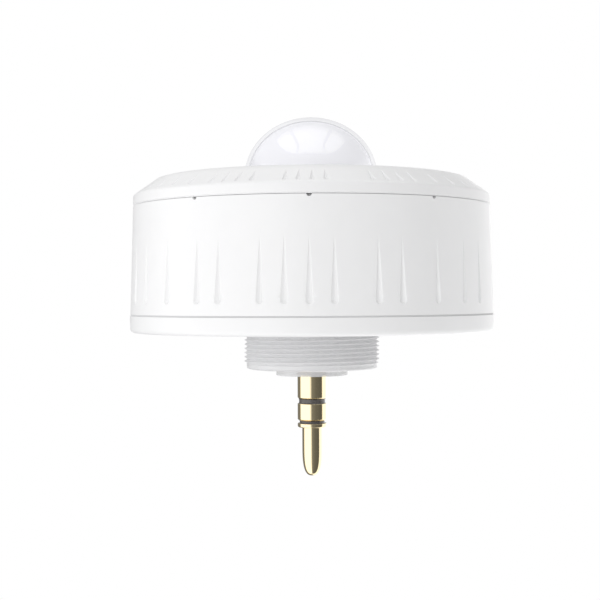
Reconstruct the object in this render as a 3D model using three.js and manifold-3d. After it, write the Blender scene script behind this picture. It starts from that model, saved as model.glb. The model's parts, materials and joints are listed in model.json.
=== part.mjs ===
// Weather sensor head: a round sealed housing with a dome on top, which screws onto a mast
// by a hollow threaded stub and plugs into it with a three-contact pin.
// Millimetres. z = 0 is the underside of the base cover, +Z points up, -Y is the front.
import * as THREE from 'three';
import { mergeVertices } from 'three/addons/utils/BufferGeometryUtils.js';
import Module from 'manifold-3d';

const wasm = await Module();
wasm.setup();

// ---- driving dimensions ----
const DRUM_SEGMENTS = 48;
const DOME_SEGMENTS = 32;
const COUPLING_SEGMENTS = 32;
const PLUG_SEGMENTS = 16;
const SCREW_SEGMENTS = 8;
const PLAY = 0.05;                 // clearance between fixed pieces that touch

const BASE_R = 64.2;
const BASE_TOP = 5.9;              // top of the base cover's rim
const BASE_EDGE_R = 1.7;           // rounding of its lower edge
const PLATE_TOP = 3;               // top of its floor
const SEAM = 0.4;                  // open line at each joint of the drum

const BODY_BOTTOM = BASE_TOP + SEAM;
const BODY_TOP = 44;
const BODY_R_BOTTOM = 64;
const BODY_R_TOP = 62.9;
const BODY_BORE = 60;

const SKIRT_BOTTOM = BODY_TOP + SEAM;
const SKIRT_TOP = 47.7;            // crease between the skirt and the chamfer
const CHAMFER_TOP_R = 54.2;
const CHAMFER_TOP = 53.9;
const COVER_TOP = 55;              // the lid rises a little towards the dome, to shed rain
const COVER_CEILING = 52.2;        // flat underside that the dome clamps to
const SPIGOT_R = 59.7;
const SPIGOT_BOTTOM = 38.5;
const GROOVE_BOTTOM = 40;          // the cover seal's groove round the spigot
const GROOVE_TOP = 42;

const DOME_R = 23.6;
const DOME_HEIGHT = 20.9;
const DOME_CENTRE = 55;
const DOME_WALL = 1.2;
const DOME_FLANGE_R = 28.5;
const DIFFUSER_R = 21.3;
const DIFFUSER_HEIGHT = 19.3;
const DIFFUSER_WALL = 1.2;
const DIFFUSER_FLANGE_R = 22.1;
const CLAMP_R = 35.5;
const CLAMP_BORE = 19.5;
const CLAMP_SCREW_R = 32;          // radius of the circle the clamp screws stand on

const THREAD_R = 24;               // M48 x 1.5
const THREAD_PITCH = 1.5;
const THREAD_DEPTH = 0.92;
const COUPLING_END = -13.2;
const COUPLING_BORE = 20.5;
const COUPLING_FLANGE_R = 33;
const FLANGE_TOP = 6.05;
const END_WALL_TOP = -9.5;

const WASHER_R = 12.7;
const WASHER_CONE_R = 15.1;        // the washer widens upwards to the coupling's end
const WASHER_EDGE_TOP = -14.2;
const WASHER_BOTTOM = -15.55;
const SHOULDER_R = 6.3;            // the plug sleeve's shoulder, clamped against the end wall
const SHOULDER_BOTTOM = -14.2;

const PLUG_R = 5.15;
const PLUG_TOP = -4;
const CONTACT_BORE = 4.55;
const LINER_BORE = 3.95;
const SLEEVE_END = -24;            // lower ends of the plug's stacked pieces
const UPPER_INSULATOR_END = -25.7;
const RING_END = -31.7;
const LOWER_INSULATOR_END = -32.75;
const COLLAR_END = -34.15;
const PIN_R = 3.55;
const NOSE_START = -41;
const NOSE_FULLNESS = 2.9;         // exponent of the nose's superellipse: 2 would be an ellipse
const PIN_TIP = -51.4;
const BARREL_R = 3.9;
const BARREL_BORE = 3.65;
const SPRING_SEAT = -28.4;         // underside of the barrel's guide wall
const BARREL_TOP = -27.6;
const PIN_SHOULDER = -34;
const STEM_R = 1.4;
const STEM_TOP = -26.8;

const FIXING_R = 55;               // radius of the circle of housing and board screws
const FIXING_ANGLES = [45, 135, 225, 315];
const FLANGE_SCREW_R = 30;
const VENT_Y = 50;                 // the pressure vent sits behind the coupling
const VENT_R = 5.1;
const QUARTERS = [0, 90, 180, 270];
const BOSS_TOP = 21;
const BOARD_BOTTOM = 21.05;
const BOARD_TOP = 22.65;
const SPACER_R = 14.5;
const SPACER_ANGLES = [0, 120, 240];
const SENSOR_BOARD_BOTTOM = 42.95;
const SENSOR_BOARD_TOP = 44.55;

// Surface marks, as angles in degrees from the front, positive towards +X.
const FLUTE_CENTRE = -4.6;         // the flutes lie evenly on both sides of this angle, front and back
const FLUTE_OFFSETS = [3.5, 10.5, 23.2, 30.6, 43, 55.2, 64.8, 84];
const FLUTE_TOP = 32;
const FLUTE_BOTTOM = 10.2;
const FLUTE_RADIUS = 1.2;
const NOTCH_ANGLES = [-36.5, -1.1, 38];
const TICK_GROUPS = [              // centre and spacing of each group of four ticks
  [-2.2, 4], [24.6, 4.6], [-24.9, 4.5], [51.8, 7.9], [-51.8, 7.9], [90, 4.5], [-90, 4.5],
  [128.2, 7.9], [-128.2, 7.9], [155.4, 4.5], [-155.4, 4.5], [180, 4],
];

const radians = THREE.MathUtils.degToRad;

// ---- materials ----
function finish(color, roughness, metalness = 0, opacity = 1) {
  return new THREE.MeshStandardMaterial({ color, roughness, metalness, opacity, transparent: opacity < 1 });
}

const WHITE = finish(0xf4f4f5, 0.35);
const COUPLING_GREY = finish(0xd3d4da, 0.4);
const CLEAR = finish(0xf6f7fa, 0.05, 0, 0.35);
const OPAL = finish(0xe9e9f0, 0.5);
const SILICONE = finish(0xc9cacb, 0.7);
const BLACK_RUBBER = finish(0x1b1b1c, 0.8);
const FROSTED = finish(0xe6e6e6, 0.45, 0, 0.6);
const GOLD = finish(0xc9b47c, 0.18, 1);
const BLACK_PLASTIC = finish(0x3a3835, 0.4);
const BOARD_GREEN = finish(0x1f5a38, 0.5);
const STEEL = finish(0xb9bbbe, 0.3, 1);
const CHIP_BLACK = finish(0x17181a, 0.45);
const CAPACITOR_SLEEVE = finish(0x24313f, 0.4);
const WIRE_RED = finish(0xa8231d, 0.5);
const WIRE_BLACK = finish(0x151515, 0.5);
const WIRE_WHITE = finish(0xdcdcda, 0.5);
const FLAT_CABLE = finish(0x9a9b9d, 0.55);

// ---- solids ----
// A closed three.js geometry as a solid: shared vertices merged, and the empty triangles
// that a turned profile leaves on its axis dropped.
function solid(geometry) {
  const bare = geometry.clone();
  bare.deleteAttribute('normal');
  bare.deleteAttribute('uv');
  const merged = mergeVertices(bare);
  const corners = merged.index.array;
  const triangles = [];
  for (let i = 0; i < corners.length; i += 3) {
    const [a, b, c] = corners.slice(i, i + 3);
    if (a !== b && b !== c && c !== a) {
      triangles.push(a, b, c);
    }
  }
  return new wasm.Manifold(new wasm.Mesh({
    numProp: 3,
    vertProperties: merged.attributes.position.array,
    triVerts: new Uint32Array(triangles),
  }));
}

function geometryOf(shape) {
  const mesh = shape.getMesh();
  const geometry = new THREE.BufferGeometry();
  geometry.setAttribute('position', new THREE.BufferAttribute(mesh.vertProperties, 3));
  geometry.setIndex(new THREE.BufferAttribute(mesh.triVerts, 1));
  geometry.computeVertexNormals();
  return geometry;
}

function subtractAll(shape, cutters) {
  return cutters.reduce((rest, cutter) => rest.subtract(cutter), shape);
}

function addAll(shape, others) {
  return others.reduce((sum, other) => sum.add(other), shape);
}

// A profile of [radius, height] points, anticlockwise with the axis on the left, turned about Z.
function turned(profile, segments) {
  const closed = [...profile, profile[0]].map(([r, z]) => new THREE.Vector2(r, z));
  return solid(new THREE.LatheGeometry(closed, segments).rotateX(Math.PI / 2));
}

function ring(inner, outer, bottom, top, segments) {
  return turned([[inner, bottom], [outer, bottom], [outer, top], [inner, top]], segments);
}

function rodGeometry(radius, bottom, top, segments, topRadius = radius) {
  const height = top - bottom;
  const rod = new THREE.CylinderGeometry(topRadius, radius, height, segments);
  return rod.rotateX(Math.PI / 2).translate(0, 0, bottom + height / 2);
}

function rod(radius, bottom, top, segments = SCREW_SEGMENTS) {
  return solid(rodGeometry(radius, bottom, top, segments));
}

function boxGeometry(x, y, z, width, depth, height) {
  return new THREE.BoxGeometry(width, depth, height).translate(x, y, z + height / 2);
}

// Points along an elliptical arc in the profile plane, angles in degrees.
function arc(centreR, centreZ, radiusR, radiusZ, from, to, steps) {
  return Array.from({ length: steps + 1 }, (_, i) => {
    const angle = radians(from + (to - from) * i / steps);
    return [centreR + radiusR * Math.cos(angle), centreZ + radiusZ * Math.sin(angle)];
  });
}

// Copies of a geometry turned to each angle, measured anticlockwise from +X, as solids.
function around(angles, makeGeometry) {
  return angles.map((angle) => solid(makeGeometry().rotateZ(radians(angle))));
}

// Upright rods standing on a circle, as solids.
function rodsAround(angles, circleR, radius, bottom, top, segments) {
  return around(angles, () => rodGeometry(radius, bottom, top, segments).translate(circleR, 0, 0));
}

// Angle from the front as an angle anticlockwise from +X.
function fromFront(angle) {
  return angle - 90;
}

// A set of angles from the front, repeated evenly round the whole turn.
function repeated(angles, times) {
  const turns = Array.from({ length: times }, (_, i) => 360 * i / times);
  return turns.flatMap((turn) => angles.map((angle) => fromFront(angle + turn)));
}

function polar(radius, angle) {
  return [radius * Math.cos(radians(angle)), radius * Math.sin(radians(angle))];
}

// ---- drum ----
function baseCover() {
  const spigotTop = BASE_TOP + 3;
  const shell = turned([
    [24.3, 0],
    ...arc(BASE_R - BASE_EDGE_R, BASE_EDGE_R, BASE_EDGE_R, BASE_EDGE_R, -90, 0, 3),
    [BASE_R, BASE_TOP],
    [59.6, BASE_TOP],
    [59.6, spigotTop],
    [57.6, spigotTop],
    [57.6, PLATE_TOP],
    [27.4, PLATE_TOP],
    [27.4, PLATE_TOP - 1],
    [25, PLATE_TOP - 1],
    [25, PLATE_TOP],
    [24.3, PLATE_TOP],
  ], DRUM_SEGMENTS);
  const pillars = rodsAround(FIXING_ANGLES, FIXING_R, 4.5, PLATE_TOP - 1, 9.2, 12);
  const drillings = rodsAround(FIXING_ANGLES, FIXING_R, 1.7, -1, 10, SCREW_SEGMENTS);
  const counterbores = rodsAround(FIXING_ANGLES, FIXING_R, 3.2, -1, 3.2, 12);
  const flangeHoles = rodsAround(FIXING_ANGLES, FLANGE_SCREW_R, 1.4, 0.8, 4, 6);
  const ventHole = solid(rodGeometry(VENT_R + 0.1, -1, 4, 16).translate(0, VENT_Y, 0));
  return subtractAll(addAll(shell, pillars), [...drillings, ...counterbores, ...flangeHoles, ventHole]);
}

function fluteGeometry() {
  const lean = (BODY_R_BOTTOM - BODY_R_TOP) / (BODY_TOP - BODY_BOTTOM);
  const cone = rodGeometry(FLUTE_RADIUS, FLUTE_BOTTOM, FLUTE_TOP, 6, 0.05);
  return cone.rotateY(-Math.atan(lean)).translate(BODY_R_BOTTOM + 0.25, 0, 0);
}

function bodyShell() {
  const wall = turned([
    [BODY_BORE, BODY_BOTTOM],
    [BODY_R_BOTTOM, BODY_BOTTOM],
    [BODY_R_TOP, BODY_TOP],
    [BODY_BORE, BODY_TOP],
  ], DRUM_SEGMENTS);
  const bossBottom = BASE_TOP + 3.6;
  const bosses = rodsAround(FIXING_ANGLES, FIXING_R, 4.2, bossBottom, BOSS_TOP, 12);
  const webs = around(FIXING_ANGLES, () => {
    return boxGeometry(58.5, 0, bossBottom, 5, 5, BOSS_TOP - bossBottom);
  });
  const pilots = rodsAround(FIXING_ANGLES, FIXING_R, 1.45, bossBottom - 1, BOSS_TOP + 1, 6);
  const offsets = FLUTE_OFFSETS.flatMap((offset) => [offset, -offset]);
  const fluteAngles = repeated(offsets.map((offset) => FLUTE_CENTRE + offset), 2);
  const flutes = around(fluteAngles, fluteGeometry);
  const notches = around(repeated(NOTCH_ANGLES, 3), () => {
    const notch = new THREE.CylinderGeometry(0.85, 0.85, 2, 8).rotateZ(Math.PI / 2);
    return notch.translate(BODY_R_TOP, 0, BODY_TOP);
  });
  return subtractAll(addAll(wall, [...bosses, ...webs]), [...pilots, ...flutes, ...notches]);
}

function tickGeometry() {
  const outline = new THREE.Shape([
    new THREE.Vector2(2.7, 0), new THREE.Vector2(-3.4, 0.64), new THREE.Vector2(-4.1, 0),
    new THREE.Vector2(-3.4, -0.64),
  ]);
  const depth = 0.5;
  const tick = new THREE.ExtrudeGeometry(outline, { depth: depth + 1, bevelEnabled: false });
  const slope = Math.atan2(CHAMFER_TOP - SKIRT_TOP, BODY_R_TOP - CHAMFER_TOP_R);
  const middleR = (BODY_R_TOP + CHAMFER_TOP_R) / 2;
  const middleZ = (SKIRT_TOP + CHAMFER_TOP) / 2;
  return tick.translate(0, 0, -depth).rotateZ(Math.PI).rotateY(slope).translate(middleR, 0, middleZ);
}

function topCover() {
  const shell = turned([
    [SPIGOT_R - 2.3, SPIGOT_BOTTOM],
    [SPIGOT_R, SPIGOT_BOTTOM],
    [SPIGOT_R, GROOVE_BOTTOM],
    [SPIGOT_R - 1, GROOVE_BOTTOM],
    [SPIGOT_R - 1, GROOVE_TOP],
    [SPIGOT_R, GROOVE_TOP],
    [SPIGOT_R, SKIRT_BOTTOM],
    [BODY_R_TOP, SKIRT_BOTTOM],
    [BODY_R_TOP, SKIRT_TOP],
    [CHAMFER_TOP_R + 1.2, CHAMFER_TOP - 0.65],
    [CHAMFER_TOP_R - 1, CHAMFER_TOP + 0.05],
    [27, COVER_TOP],
    [DOME_R + 0.3, COVER_TOP],
    [DOME_R + 0.3, COVER_CEILING],
    [50.5, COVER_CEILING],
    [SPIGOT_R - 2.3, SKIRT_TOP - 0.5],
  ], DRUM_SEGMENTS);
  const bosses = rodsAround(QUARTERS, CLAMP_SCREW_R, 3, COVER_CEILING - 2.4, COVER_CEILING + 1, 10);
  const pilots = rodsAround(QUARTERS, CLAMP_SCREW_R, 1.3, COVER_CEILING - 3, COVER_CEILING + 0.5, 6);
  const tickAngles = TICK_GROUPS.flatMap(([centre, spacing]) => {
    return [-1.5, -0.5, 0.5, 1.5].map((place) => fromFront(centre + place * spacing));
  });
  return subtractAll(addAll(shell, bosses), [...pilots, ...around(tickAngles, tickGeometry)]);
}

// ---- dome ----
const DOME_FLANGE_TOP = COVER_CEILING - 1;
const DOME_FLANGE_BOTTOM = DOME_FLANGE_TOP - 1.5;
const CLAMP_BOTTOM = DOME_FLANGE_BOTTOM - 2.1;

// A half-ellipsoid cap of even wall, with a short skirt and a flange that the clamp ring holds.
function capShell(radius, height, wall, flangeR) {
  const steps = 5;
  return turned([
    [radius - wall, DOME_FLANGE_BOTTOM],
    [flangeR, DOME_FLANGE_BOTTOM],
    [flangeR, DOME_FLANGE_TOP],
    [radius, DOME_FLANGE_TOP],
    ...arc(0, DOME_CENTRE, radius, height, 0, 90, steps),
    ...arc(0, DOME_CENTRE, radius - wall, height - wall, 90, 0, steps),
  ], DOME_SEGMENTS);
}

function clampRing() {
  const plate = ring(CLAMP_BORE, CLAMP_R, CLAMP_BOTTOM, DOME_FLANGE_BOTTOM - PLAY, DOME_SEGMENTS);
  return subtractAll(plate, rodsAround(QUARTERS, CLAMP_SCREW_R, 1.3, 40, 60, SCREW_SEGMENTS));
}

// ---- threaded coupling ----
// A screw thread as one closed solid: crest and root lines run up a helix side by side, and
// each end is closed by a fan to the axis. It overruns both ends of the stub that trims it.
function helicalThread(bottom, top) {
  const steps = Math.ceil((top - bottom) / THREAD_PITCH + 2) * COUPLING_SEGMENTS;
  const start = bottom - THREAD_PITCH * 1.5;
  const positions = [];
  const corners = [];
  const addPoint = (x, y, z) => positions.push(x, y, z) / 3 - 1;
  const crest = [];
  const root = [];
  for (let i = 0; i <= steps; i += 1) {
    const angle = 360 * (i % COUPLING_SEGMENTS) / COUPLING_SEGMENTS;
    const height = start + THREAD_PITCH * i / COUPLING_SEGMENTS;
    crest.push(addPoint(...polar(THREAD_R, angle), height));
    root.push(addPoint(...polar(THREAD_R - THREAD_DEPTH, angle), height + THREAD_PITCH / 2));
  }
  for (let i = 0; i < steps; i += 1) {
    corners.push(crest[i], crest[i + 1], root[i + 1], crest[i], root[i + 1], root[i]);
    const above = i + COUPLING_SEGMENTS;
    if (above < steps) {
      corners.push(root[i], root[i + 1], crest[above + 1], root[i], crest[above + 1], crest[above]);
    }
  }
  const bottomCentre = addPoint(0, 0, start);
  const topCentre = addPoint(0, 0, start + THREAD_PITCH * steps / COUPLING_SEGMENTS);
  for (let i = 0; i < COUPLING_SEGMENTS; i += 1) {
    corners.push(bottomCentre, crest[i + 1], crest[i]);
    const high = steps - COUPLING_SEGMENTS + i;
    corners.push(topCentre, root[high], root[high + 1]);
  }
  corners.push(bottomCentre, root[0], crest[COUPLING_SEGMENTS], bottomCentre, crest[0], root[0]);
  const last = steps - COUPLING_SEGMENTS;
  corners.push(topCentre, crest[steps], root[last], topCentre, root[steps], crest[steps]);
  const geometry = new THREE.BufferGeometry();
  geometry.setAttribute('position', new THREE.Float32BufferAttribute(positions, 3));
  geometry.setIndex(corners);
  return solid(geometry);
}

function threadedCoupling() {
  const neckBottom = -0.4;
  const taperedEnd = COUPLING_END + 1.6;
  const envelope = turned([
    [0, COUPLING_END],
    [THREAD_R - 1.6, COUPLING_END],
    [THREAD_R - 0.75, COUPLING_END + 0.5],
    [THREAD_R - 0.75, taperedEnd],
    [THREAD_R + 0.5, taperedEnd + 0.6],
    [THREAD_R + 0.5, neckBottom],
    [0, neckBottom],
  ], COUPLING_SEGMENTS);
  const stub = helicalThread(COUPLING_END, neckBottom).intersect(envelope);
  const neck = turned([
    [0, -2],
    [THREAD_R - THREAD_DEPTH, -2],
    [THREAD_R - 0.1, neckBottom],
    [THREAD_R - 0.1, PLATE_TOP + PLAY],
    [COUPLING_FLANGE_R, PLATE_TOP + PLAY],
    [COUPLING_FLANGE_R, FLANGE_TOP],
    [0, FLANGE_TOP],
  ], COUPLING_SEGMENTS);
  const bore = rod(COUPLING_BORE, END_WALL_TOP, FLANGE_TOP + 1, COUPLING_SEGMENTS);
  const plugHole = rod(PLUG_R + PLAY, -20, 0, PLUG_SEGMENTS);
  const screwHoles = rodsAround(FIXING_ANGLES, FLANGE_SCREW_R, 1.7, 0, 10, SCREW_SEGMENTS);
  return subtractAll(stub.add(neck), [bore, plugHole, ...screwHoles]);
}

function contactWasher() {
  const body = turned([
    [0, WASHER_BOTTOM],
    [WASHER_R, WASHER_BOTTOM],
    [WASHER_R, WASHER_EDGE_TOP],
    [WASHER_CONE_R, COUPLING_END - PLAY],
    [0, COUPLING_END - PLAY],
  ], COUPLING_SEGMENTS);
  const plugHole = rod(PLUG_R + PLAY, -20, 0, PLUG_SEGMENTS);
  const shoulderRecess = rod(SHOULDER_R + PLAY, SHOULDER_BOTTOM - PLAY, 0, PLUG_SEGMENTS);
  return subtractAll(body, [plugHole, shoulderRecess]);
}

// ---- plug ----
function plugSleeve() {
  return turned([
    [CONTACT_BORE, SLEEVE_END],
    [PLUG_R - 0.25, SLEEVE_END],
    [PLUG_R, SLEEVE_END + 0.25],
    [PLUG_R, SHOULDER_BOTTOM],
    [SHOULDER_R, SHOULDER_BOTTOM],
    [SHOULDER_R, COUPLING_END - PLAY],
    [PLUG_R, COUPLING_END - PLAY],
    [PLUG_R, PLUG_TOP],
    [CONTACT_BORE, PLUG_TOP],
  ], PLUG_SEGMENTS);
}

function upperInsulator() {
  const tube = turned([
    [LINER_BORE, RING_END + PLAY],
    [CONTACT_BORE - PLAY, RING_END + PLAY],
    [CONTACT_BORE - PLAY, UPPER_INSULATOR_END + PLAY],
    [PLUG_R - 0.4, UPPER_INSULATOR_END + PLAY],
    [PLUG_R - 0.4, SLEEVE_END - PLAY],
    [CONTACT_BORE - PLAY, SLEEVE_END - PLAY],
    [CONTACT_BORE - PLAY, PLUG_TOP],
    [LINER_BORE, PLUG_TOP],
  ], PLUG_SEGMENTS);
  const wireHole = new THREE.CylinderGeometry(0.7, 0.7, 2, 8).rotateZ(Math.PI / 2);
  wireHole.translate(4.3, 0, UPPER_INSULATOR_END - 0.8);
  return tube.subtract(solid(wireHole));
}

function ringContact() {
  const edge = 0.25;
  return turned([
    [CONTACT_BORE, RING_END],
    [PLUG_R - edge, RING_END],
    [PLUG_R, RING_END + edge],
    [PLUG_R, UPPER_INSULATOR_END - edge],
    [PLUG_R - edge, UPPER_INSULATOR_END],
    [CONTACT_BORE, UPPER_INSULATOR_END],
  ], PLUG_SEGMENTS);
}

function tipBarrel() {
  const edge = 0.25;
  return turned([
    [BARREL_BORE, COLLAR_END],
    [PLUG_R - edge, COLLAR_END],
    [PLUG_R, COLLAR_END + edge],
    [PLUG_R, LOWER_INSULATOR_END - edge],
    [PLUG_R - edge, LOWER_INSULATOR_END],
    [BARREL_R, LOWER_INSULATOR_END],
    [BARREL_R, BARREL_TOP],
    [STEM_R + 0.1, BARREL_TOP],
    [STEM_R + 0.1, SPRING_SEAT],
    [BARREL_BORE, SPRING_SEAT],
  ], PLUG_SEGMENTS);
}

function tipPlunger() {
  const noseLength = NOSE_START - PIN_TIP;
  const power = 2 / NOSE_FULLNESS;
  const nose = arc(0, 0, 1, 1, -90, 0, 7).map(([x, z]) => {
    return [PIN_R * Math.max(x, 0) ** power, NOSE_START - noseLength * Math.max(-z, 0) ** power];
  });
  return turned([
    ...nose,
    [PIN_R, PIN_SHOULDER],
    [STEM_R, PIN_SHOULDER],
    [STEM_R, BARREL_TOP],
    [STEM_R - 0.4, BARREL_TOP],
    [STEM_R - 0.4, STEM_TOP],
    [0, STEM_TOP],
  ], PLUG_SEGMENTS);
}

class Helix extends THREE.Curve {
  constructor(radius, bottom, top, turns) {
    super();
    Object.assign(this, { radius, bottom, top, turns });
  }

  getPoint(t) {
    const [x, y] = polar(this.radius, 360 * this.turns * t);
    return new THREE.Vector3(x, y, this.bottom + (this.top - this.bottom) * t);
  }
}

function circleShape(radius, sides) {
  const corners = Array.from({ length: sides }, (_, i) => polar(radius, 360 * i / sides));
  return new THREE.Shape(corners.map(([x, y]) => new THREE.Vector2(x, y)));
}

function tipSpring() {
  const wireR = 0.35;
  const path = new Helix(2.6, PIN_SHOULDER + wireR + 0.06, SPRING_SEAT - wireR - 0.06, 4);
  return new THREE.ExtrudeGeometry(circleShape(wireR, 5), { steps: 36, extrudePath: path });
}

function wire(points, stepLength = 2) {
  const radius = 0.4;
  const path = new THREE.CatmullRomCurve3(points.map((point) => new THREE.Vector3(...point)));
  const steps = Math.ceil(path.getLength() / stepLength);
  return new THREE.ExtrudeGeometry(circleShape(radius, 5), { steps, extrudePath: path });
}

// ---- boards ----
function mainBoard() {
  const holes = rodsAround(FIXING_ANGLES, FIXING_R, 1.7, 10, 30, SCREW_SEGMENTS);
  return subtractAll(rod(58.5, BOARD_BOTTOM, BOARD_TOP, 48), holes);
}

function sensorBoard() {
  const holes = rodsAround(SPACER_ANGLES, SPACER_R, 1.3, 40, 50, SCREW_SEGMENTS);
  return subtractAll(rod(18, SENSOR_BOARD_BOTTOM, SENSOR_BOARD_TOP, 32), holes);
}

function boardSpacer() {
  const pillar = rod(2.9, BOARD_TOP + PLAY, SENSOR_BOARD_BOTTOM - PLAY, 6);
  return pillar.subtract(rod(1.3, SENSOR_BOARD_BOTTOM - 7, SENSOR_BOARD_BOTTOM + 1, 6));
}

// A flat cable between two board connectors, bent in the plane of its thickness.
function flatCable() {
  const thickness = 0.6;
  const width = 8;
  const spine = new THREE.SplineCurve([
    new THREE.Vector2(-26, BOARD_TOP + 3.95), new THREE.Vector2(-26, 28.5),
    new THREE.Vector2(-24, 32), new THREE.Vector2(-13, 34.5),
    new THREE.Vector2(-11, 37.5), new THREE.Vector2(-11, SENSOR_BOARD_BOTTOM - 3.75),
  ]);
  const steps = 12;
  const side = (offset) => Array.from({ length: steps + 1 }, (_, i) => {
    const point = spine.getPoint(i / steps);
    const along = spine.getTangent(i / steps);
    return new THREE.Vector2(point.x - along.y * offset, point.y + along.x * offset);
  });
  const outline = new THREE.Shape([...side(-thickness / 2), ...side(thickness / 2).reverse()]);
  const strip = new THREE.ExtrudeGeometry(outline, { depth: width, bevelEnabled: false });
  return strip.translate(0, 0, -width / 2).rotateX(Math.PI / 2);
}

// A pan-head screw with its head's seat at z = 0 and its shank pointing down.
function screw(headR, headHeight, shankR, length) {
  return rod(headR, 0, headHeight, 10).add(rod(shankR, -length, 0.1, 6));
}

// ---- assembly ----
const head = new THREE.Group();
const housing = new THREE.Group();
const cover = new THREE.Group();
const plug = new THREE.Group();
head.add(housing, cover, plug);

function place(group, name, shape, material, position = [0, 0, 0], rotation = [0, 0, 0]) {
  const mesh = new THREE.Mesh(shape.isBufferGeometry ? shape : geometryOf(shape), material);
  mesh.name = name;
  mesh.position.set(...position);
  mesh.rotation.set(...rotation);
  group.add(mesh);
}

function placeScrews(group, name, shape, circleR, angles, seat, upsideDown = false) {
  angles.forEach((angle, i) => {
    const [x, y] = polar(circleR, angle);
    place(group, `${name}_${i + 1}`, shape, STEEL, [x, y, seat], [upsideDown ? Math.PI : 0, 0, 0]);
  });
}

place(housing, 'base_cover', baseCover(), WHITE);
place(housing, 'body_shell', bodyShell(), WHITE);
place(housing, 'base_seal', ring(60.6, 62.6, BASE_TOP + PLAY, BODY_BOTTOM - PLAY, DRUM_SEGMENTS), SILICONE);
placeScrews(housing, 'base_screw', screw(2.9, 2, 1.2, 11), FIXING_R, FIXING_ANGLES, 3.15, true);
place(housing, 'pressure_vent', rod(6.6, -1.2, -PLAY, 16).add(rod(VENT_R, -PLAY - 0.1, 4, 16)),
  BLACK_PLASTIC, [0, VENT_Y, 0]);

place(housing, 'threaded_coupling', threadedCoupling(), COUPLING_GREY);
place(housing, 'coupling_seal',
  ring(25.2, 27.2, PLATE_TOP - 0.95, PLATE_TOP, COUPLING_SEGMENTS), BLACK_RUBBER);
placeScrews(housing, 'coupling_screw', screw(2.8, 1.8, 1.15, 5), FLANGE_SCREW_R, FIXING_ANGLES,
  FLANGE_TOP + PLAY);
place(housing, 'contact_washer', contactWasher(), FROSTED);

place(plug, 'plug_sleeve', plugSleeve(), GOLD);
place(plug, 'plug_nut',
  rod(8.5, END_WALL_TOP + PLAY, -6.3, 6).subtract(rod(PLUG_R + PLAY, -12, 0, PLUG_SEGMENTS)), STEEL);
place(plug, 'plug_upper_insulator', upperInsulator(), BLACK_PLASTIC);
place(plug, 'plug_ring_contact', ringContact(), GOLD);
place(plug, 'plug_lower_insulator',
  ring(LINER_BORE, PLUG_R - 0.6, LOWER_INSULATOR_END + PLAY, RING_END - PLAY, PLUG_SEGMENTS), BLACK_PLASTIC);
place(plug, 'plug_tip_barrel', tipBarrel(), GOLD);
place(plug, 'plug_tip_plunger', tipPlunger(), GOLD);
place(plug, 'plug_tip_clip',
  ring(STEM_R - 0.35, 2.4, BARREL_TOP + PLAY, BARREL_TOP + 0.6, PLUG_SEGMENTS), STEEL);
place(plug, 'plug_tip_spring', tipSpring(), STEEL);

place(housing, 'main_board', mainBoard(), BOARD_GREEN);
placeScrews(housing, 'main_board_screw', screw(2.8, 1.8, 1.15, 6.5), FIXING_R, FIXING_ANGLES,
  BOARD_TOP + PLAY);
place(housing, 'plug_header', boxGeometry(0, 9, BOARD_BOTTOM - 5.05, 11, 6, 5), WIRE_WHITE);
place(housing, 'tip_wire', wire([
  [-3, 9, 15.9], [-3, 8, 10], [-2.6, 3.5, 3], [-2.3, 2.3, -4], [-2.3, 2.3, -15], [-2.3, 2.3, -27.5],
]), WIRE_RED);
place(housing, 'ring_wire', wire([
  [0, 9, 15.9], [0.6, 7.5, 10], [2.6, 2.2, 3], [3.2, 0, -4], [3.2, 0, -15],
  [3.2, 0, -25.5], [3.35, 0, -26.3], [3.85, 0, -26.5], [4.4, 0, -26.5],
], 1), WIRE_WHITE);
place(housing, 'sleeve_wire', wire([
  [3, 9, 15.9], [3.6, 8, 10], [3.7, 4.2, 3], [3.45, 3.45, -1], [3.45, 3.45, -3.9],
]), WIRE_BLACK);

place(housing, 'processor_chip', boxGeometry(22, -14, BOARD_TOP + PLAY, 12, 12, 1.4), CHIP_BLACK);
place(housing, 'power_inductor', boxGeometry(24, 20, BOARD_TOP + PLAY, 10, 10, 4.5), CHIP_BLACK);
place(housing, 'power_capacitor', rod(5, BOARD_TOP + PLAY, 36, 16), CAPACITOR_SLEEVE, [38, 8, 0]);
place(housing, 'climate_sensor', boxGeometry(0, VENT_Y, BOARD_TOP + PLAY, 4, 4, 1.6), OPAL);
place(housing, 'main_board_socket', boxGeometry(-26, 0, BOARD_TOP + PLAY, 6, 11, 3.8), WIRE_WHITE);
place(housing, 'sensor_board_socket', boxGeometry(-11, 0, SENSOR_BOARD_BOTTOM - PLAY - 3.5, 5, 11, 3.5),
  WIRE_WHITE);
place(housing, 'sensor_cable', flatCable(), FLAT_CABLE);

SPACER_ANGLES.forEach((angle, i) => {
  const [x, y] = polar(SPACER_R, angle);
  place(housing, `board_spacer_${i + 1}`, boardSpacer(), STEEL, [x, y, 0]);
});
place(housing, 'sensor_board', sensorBoard(), BOARD_GREEN);
placeScrews(housing, 'sensor_board_screw', screw(2.1, 1.5, 1.05, 6), SPACER_R, SPACER_ANGLES,
  SENSOR_BOARD_TOP + PLAY);
place(housing, 'light_sensor', boxGeometry(0, 0, SENSOR_BOARD_TOP + PLAY, 5, 5, 1.6), CHIP_BLACK);
place(housing, 'ultraviolet_sensor', boxGeometry(7.5, -4, SENSOR_BOARD_TOP + PLAY, 3, 3, 1.2), CHIP_BLACK);

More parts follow.
